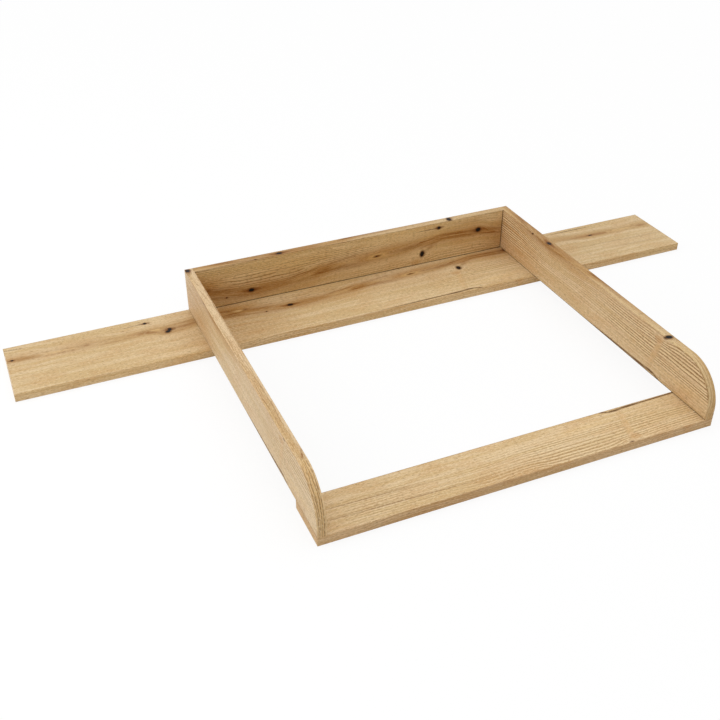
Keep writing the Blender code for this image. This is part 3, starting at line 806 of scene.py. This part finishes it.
def decor(name, print_group, window, tone, lines=BAND_LINES, thick=None, joints=()):
    """Oak decor in a window of the print, inked a tone deeper; cut across thick it shows chipboard, and
    along the given joints it has painted shade.
    """
    made, tree, shader = new_material(name)
    spot = add(tree, "TexCoord")
    axes = add(tree, "SeparateXYZ", spot.outputs["Object"])
    feeds = []
    for axis, sign, start in window:
        feeds.append(add(tree, "Math", axes.outputs[axis], sign, start * MM, operation="MULTIPLY_ADD"))
    picture = add(tree, "Group", *feeds, *lines, node_tree=print_group)
    face = add(tree, "Mix", 1.0, picture, colour(tone), blend_type="MULTIPLY", **TINT).outputs[2]
    if thick:
        facing = add(tree, "SeparateXYZ", spot.outputs["Normal"])
        flat = add(tree, "Math", facing.outputs[thick], operation="ABSOLUTE")
        cut = add(tree, "MapRange", flat, 0.4, 0.6, 1.0, 0.0, **SOFTLY)
        core = chipboard_core(tree, spot)
        face = add(tree, "Mix", cut, face, core, **TINT).outputs[2]
    # Painted shade along the open joints
    if joints:
        face = painted_joint_shade(tree, spot, axes, face, joints)
    tree.links.new(face, shader.inputs["Base Color"])
    pressed_sheen(tree, shader, *feeds)
    return made


def wrap_decor(name, print_group, start, tone):
    """The same decor on a band that is bent round the corner: it runs with the band's own length."""
    made, tree, shader = new_material(name)
    spot = add(tree, "TexCoord")
    runs = add(tree, "SeparateXYZ", spot.outputs["UV"])
    along = add(tree, "Math", runs.outputs["X"], start[0] * MM, operation="ADD")
    aside = add(tree, "Math", runs.outputs["Y"], start[1] * MM, operation="ADD")
    picture = add(tree, "Group", along, aside, *WRAP_LINES, node_tree=print_group)
    face = add(tree, "Mix", 1.0, picture, colour(tone), blend_type="MULTIPLY", **TINT)
    tree.links.new(face.outputs[2], shader.inputs["Base Color"])
    pressed_sheen(tree, shader, along, aside)
    return made


def zinc(name, tint, dull):
    """Zinc, barrel plated on cold-headed steel or cast in a die: bright, finely pitted, dull in patches."""
    made, tree, shader = new_material(name)
    spot = add(tree, "TexCoord")
    grit = add(tree, "TexNoise", spot.outputs["Object"], CRYSTALS_PER_METRE, 3.0, 0.6)
    patch = add(tree, "TexNoise", spot.outputs["Object"], PATCHES_PER_METRE, 2.0, 0.5)
    tone = add(tree, "MapRange", patch, 0.40, 0.62, 0.0, 0.5, **SOFTLY)
    metal = add(tree, "Mix", tone, colour(tint), colour(ZINC_DULL), **TINT)
    tree.links.new(metal.outputs[2], shader.inputs["Base Color"])
    shader.inputs["Metallic"].default_value = 1.0
    rough = add(tree, "MapRange", grit, 0.3, 0.7, dull - 0.08, dull + 0.10)
    tree.links.new(rough.outputs[0], shader.inputs["Roughness"])
    bump = add(tree, "Bump", 0.12, ZINC_PIT_DEPTH)
    tree.links.new(grit.outputs[0], bump.inputs["Height"])
    tree.links.new(bump.outputs[0], shader.inputs["Normal"])
    return made


def beech(name, axis):
    """Turned and fluted beech: pale pink-brown, with short dark ray flecks along the grain."""
    made, tree, shader = new_material(name)
    spot = add(tree, "TexCoord")
    axes = add(tree, "SeparateXYZ", spot.outputs["Object"])
    others = [other for other in "XYZ" if other != axis]
    along = add(tree, "Math", axes.outputs[axis], 1 / MM, operation="MULTIPLY")
    across = add(tree, "Math", axes.outputs[others[0]], axes.outputs[others[1]], operation="ADD")
    across = add(tree, "Math", across, 1 / MM, operation="MULTIPLY")
    place = add(tree, "CombineXYZ", along, across)
    streak = drawn_out(tree, place, *BEECH_STREAK_SIZE)
    tone = add(tree, "MapRange", streak, 0.35, 0.65, 0.0, 1.0, **SOFTLY)
    wood = add(tree, "Mix", tone, colour(BEECH_LIGHT), colour(BEECH_TAN), **TINT)
    fleck = drawn_out(tree, place, *BEECH_FLECK_SIZE, 1.0)
    fleck = add(tree, "MapRange", fleck, 0.58, 0.70, 0.0, 0.7, **SOFTLY)
    wood = add(tree, "Mix", fleck, wood, colour(BEECH_FLECK), **TINT)
    tree.links.new(wood.outputs[2], shader.inputs["Base Color"])
    rough = add(tree, "MapRange", fleck, 0.0, 0.7, 0.60, 0.70)
    tree.links.new(rough.outputs[0], shader.inputs["Roughness"])
    bump = add(tree, "Bump", 0.3, BEECH_FLECK_DEPTH, invert=True)
    tree.links.new(fleck.outputs[0], bump.inputs["Height"])
    tree.links.new(bump.outputs[0], shader.inputs["Normal"])
    return made


def run_of(point, rear, corner):
    """How far along the wrap band a point is, from the band's rear end, over the round, to its foot."""
    if point.y >= corner.y:
        return rear - point.y
    round_start = rear - corner.y
    if point.z <= corner.z:
        return round_start + CORNER_RADIUS * QUARTER_TURN + corner.z - point.z
    return round_start + CORNER_RADIUS * math.atan2(corner.y - point.y, point.z - corner.z)


def lay_print(piece, outer_x, rear, corner, shift):
    """Maps the band in metres along it and across it from its outer side, shifted across past its butt."""
    mesh = piece.data
    places = mesh.uv_layers.active.data
    for face in mesh.polygons:
        past_butt = face.center.y < corner.y
        for loop in face.loop_indices:
            point = mesh.vertices[mesh.loops[loop].vertex_index].co
            run = run_of(point, rear, corner)
            places[loop].uv = (run, abs(point.x - outer_x) + shift * past_butt)


def outer_rim(edge, low, high, corner):
    """Whether an edge is a rim of the band's outer face: along either side, or across its rear end."""
    first, second = (vertex.co for vertex in edge.verts)
    for point in (first, second):
        spoke = math.hypot(point.y - corner.y, point.z - corner.z)
        on_top = point.y >= corner.y - ON_FACE and abs(point.z - high.z) < ON_FACE
        on_front = point.z <= corner.z + ON_FACE and abs(point.y - low.y) < ON_FACE
        on_round = point.y <= corner.y and point.z >= corner.z and abs(spoke - CORNER_RADIUS) < ON_FACE
        if not (on_top or on_front or on_round):
            return False
    along = abs(first.x - second.x) < ON_FACE
    at_rear = abs(first.y - high.y) < ON_FACE and abs(second.y - high.y) < ON_FACE
    return along != at_rear


def bend_strip(low, high, corner):
    """A strip laid along the side's top, bent round its front corner and drawn down to its foot."""
    middle = ((low.x + high.x) / 2, (corner.y + high.y) / 2, high.z - BAND_THICKNESS / 2)
    size = (high.x - low.x, high.y - corner.y, BAND_THICKNESS)
    bpy.ops.object.select_all(action="DESELECT")
    bpy.ops.mesh.primitive_cube_add(size=1, location=middle, scale=size)
    strip = bpy.context.object
    bpy.ops.object.transform_apply(location=True, rotation=True, scale=True)

    bpy.ops.object.mode_set(mode="EDIT")
    bpy.ops.mesh.select_mode(type="FACE")
    bpy.ops.mesh.select_all(action="DESELECT")
    bm = bmesh.from_edit_mesh(strip.data)
    for face in bm.faces:
        face.select = face.normal.y < -0.9
    bmesh.update_edit_mesh(strip.data)
    centre = (0, corner.y, corner.z)
    bpy.ops.mesh.spin(steps=CORNER_STEPS, angle=QUARTER_TURN, center=centre, axis=(-1, 0, 0))
    drop = (0, 0, low.z - corner.z)
    bpy.ops.mesh.extrude_region_move(TRANSFORM_OT_translate={"value": drop})
    bpy.ops.mesh.select_all(action="SELECT")
    bpy.ops.mesh.remove_doubles(threshold=ON_FACE / 10)
    bpy.ops.mesh.normals_make_consistent(inside=False)
    return strip


def round_rims(piece, low, high, corner):
    """Rounds the outer rims of the strip, which is still in edit mode, as the trimmer does."""
    bpy.ops.mesh.select_mode(type="EDGE")
    bpy.ops.mesh.select_all(action="DESELECT")
    bm = bmesh.from_edit_mesh(piece.data)
    # The spin ends a thousandth of a millimetre past the band's front: it is set back there
    for vertex in bm.verts:
        vertex.co.y = max(vertex.co.y, low.y)
    for edge in bm.edges:
        edge.select = outer_rim(edge, low, high, corner)
    bmesh.update_edit_mesh(piece.data)
    bpy.ops.mesh.bevel(offset=BAND_EDGE_RADIUS, segments=BAND_EDGE_STEPS, affect="EDGES")
    bpy.ops.object.mode_set(mode="OBJECT")
    bpy.ops.object.shade_smooth_by_angle(angle=SMOOTH_BELOW)


def wrap_band(side, material, shift):
    """The band over a side's top, round its front corner and down to its foot, bent from one strip."""
    node = f"{side}_side_top_band"
    low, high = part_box(node)
    corner = Vector((0, low.y + CORNER_RADIUS, high.z - CORNER_RADIUS))
    piece = bend_strip(low, high, corner)
    piece.name = f"{side}_side_wrap_band"
    round_rims(piece, low, high, corner)
    outer_x = low.x if side == "left" else high.x
    lay_print(piece, outer_x, high.y, corner, shift)
    piece.data.materials.append(material)
    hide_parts(node)
    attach(piece, "root")


def seen_straight(tree):
    """1 for a ray that shows the background itself, to the eye or in metal or glass, and 0 for light."""
    rays = add(tree, "LightPath")
    eye = rays.outputs["Is Camera Ray"]
    seen = add(tree, "Math", eye, rays.outputs["Is Glossy Ray"], operation="MAXIMUM")
    return add(tree, "Math", seen, rays.outputs["Is Transmission Ray"], operation="MAXIMUM")


def pale_floor():
    """A plain matt floor that is seen white, with the object's shadow on it."""
    bpy.ops.mesh.primitive_plane_add(size=FLOOR_SIZE, location=(0, 0, LOWEST - FLOOR_DROP))
    floor = bpy.context.object
    floor.name = "studio_floor"
    made, tree, shader = new_material("pale_studio_floor")
    matt = add(tree, "BsdfDiffuse", colour(FLOOR_WHITE))
    white = add(tree, "BsdfDiffuse", colour(WHITE))
    glow = add(tree, "Emission", colour(WHITE), 1.0)
    veil = add(tree, "MixShader", FLOOR_SHADOW_SHARE, glow, white)
    shown = add(tree, "MixShader", seen_straight(tree), matt, veil)
    tree.links.new(shown.outputs[0], tree.nodes["Material Output"].inputs["Surface"])
    tree.nodes.remove(shader)
    floor.data.materials.append(made)


def white_sky():
    """Soft light from overhead that fades to the sides, behind a background that is seen white."""
    world = bpy.data.worlds.new("white_sky")
    bpy.context.scene.world = world
    world.use_nodes = True
    tree = world.node_tree
    spot = add(tree, "TexCoord")
    way = add(tree, "SeparateXYZ", spot.outputs["Generated"])
    lit = add(tree, "MapRange", way.outputs["Z"], 0.0, 1.0, SKY_AT_HORIZON, SKY_OVERHEAD)
    level = add(tree, "Mix", seen_straight(tree), lit, 1.0)
    sky = tree.nodes["Background"]
    sky.inputs["Color"].default_value = colour(WHITE)
    tree.links.new(level.outputs[0], sky.inputs["Strength"])


def side_softbox():
    """A large round lamp, low on the left."""
    bpy.ops.object.light_add(type="AREA", location=LAMP_PLACE)
    lamp = bpy.context.object
    lamp.name = "side_softbox"
    lamp.data.shape = "DISK"
    lamp.data.size = LAMP_SIZE
    lamp.data.energy = LAMP_WATTS
    lamp.rotation_euler = (-Vector(LAMP_PLACE)).to_track_quat("-Z", "Y").to_euler()


def camera():
    """The photograph's own viewpoint."""
    bpy.ops.object.camera_add(location=CAMERA_PLACE)
    eye = bpy.context.object
    eye.rotation_euler = (QUARTER_TURN - CAMERA_DOWN, 0, -CAMERA_YAW)
    eye.data.sensor_width = SENSOR_MM
    eye.data.lens = LENS_MM
    bpy.context.scene.camera = eye


def dress(names, material):
    """Gives CAD nodes their finish."""
    for name in names:
        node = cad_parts[name]
        node.data.materials.clear()
        node.data.materials.append(material)


def dress_boards(picture, joints):
    """Melamine-faced chipboard: printed oak paper under a clear pressed skin, even and half matt."""
    for board, (name, window, tone, lines, thick) in BOARDS.items():
        dress([board], decor(name, picture, window, tone, lines, thick, joints.get(board, ())))


def dress_bands(picture, joints):
    """Printed and embossed ABS edge bands, glued on, their rims rounded: the boards' own oak and sheen."""
    back_top = decor("abs_oak_band_back_top", picture, BACK_TOP_WINDOW, BACK_TOP_TONE)
    dress(["back_panel_top_band"], back_top)
    for board, tone in (("front_board", FRONT_EDGE_TONE), ("rear_plank", PLANK_EDGE_TONE)):
        edge = decor(f"abs_oak_band_{board}_edges", picture, LONG_EDGE_WINDOW, tone)
        dress([f"{board}_front_band", f"{board}_rear_band"], edge)
        end = decor(f"abs_oak_band_{board}_ends", picture, SHORT_END_WINDOW, tone)
        dress([f"{board}_left_band", f"{board}_right_band"], end)
    rear = decor("abs_oak_band_side_rears", picture, SIDE_REAR_WINDOW, FRONT_EDGE_TONE)
    dress(["left_side_rear_band", "right_side_rear_band"], rear)
    for side in ("left", "right"):
        band = f"{side}_side_lower_band"
        name = f"abs_oak_band_{side}_foot"
        foot = decor(name, picture, SIDE_LOWER_WINDOW, FRONT_EDGE_TONE, joints=joints[band])
        dress([band], foot)
    right = wrap_decor("abs_oak_wrap_right", picture, RIGHT_WRAP_START, RIGHT_WRAP_TONE)
    wrap_band("right", right, 0)
    left = wrap_decor("abs_oak_wrap_left", picture, LEFT_WRAP_START, LEFT_WRAP_TONE)
    wrap_band("left", left, LEFT_ROUND_SHIFT)


def dress_fasteners():
    """Screws, bolts, cams and dowels."""
    names = list(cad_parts)
    screws = [name for name in names if "_screw_" in name]
    dress(screws, zinc("zinc_plated_screw_steel", *SCREW_ZINC))
    bolts = [name for name in names if name.endswith("_cam_bolt")]
    dress(bolts, zinc("zinc_plated_bolt_steel", *BOLT_ZINC))
    cams = [name for name in names if name.endswith("_cam_housing")]
    dress(cams, zinc("die_cast_zinc", *CAM_ZINC))
    dowels = [name for name in names if "_dowel" in name]
    lying = [name for name in dowels if "_end_dowel" in name]
    dress(lying, beech("fluted_beech_lying", "X"))
    dress([name for name in dowels if name not in lying], beech("fluted_beech_upright", "Z"))


def main():
    """The photograph's view and light, then every piece's finish."""
    bpy.context.scene.view_settings.view_transform = "Standard"
    camera()
    pale_floor()
    white_sky()
    side_softbox()
    picture = oak_print()
    joints = open_joints()
    dress_boards(picture, joints)
    dress_bands(picture, joints)
    dress_fasteners()


main()
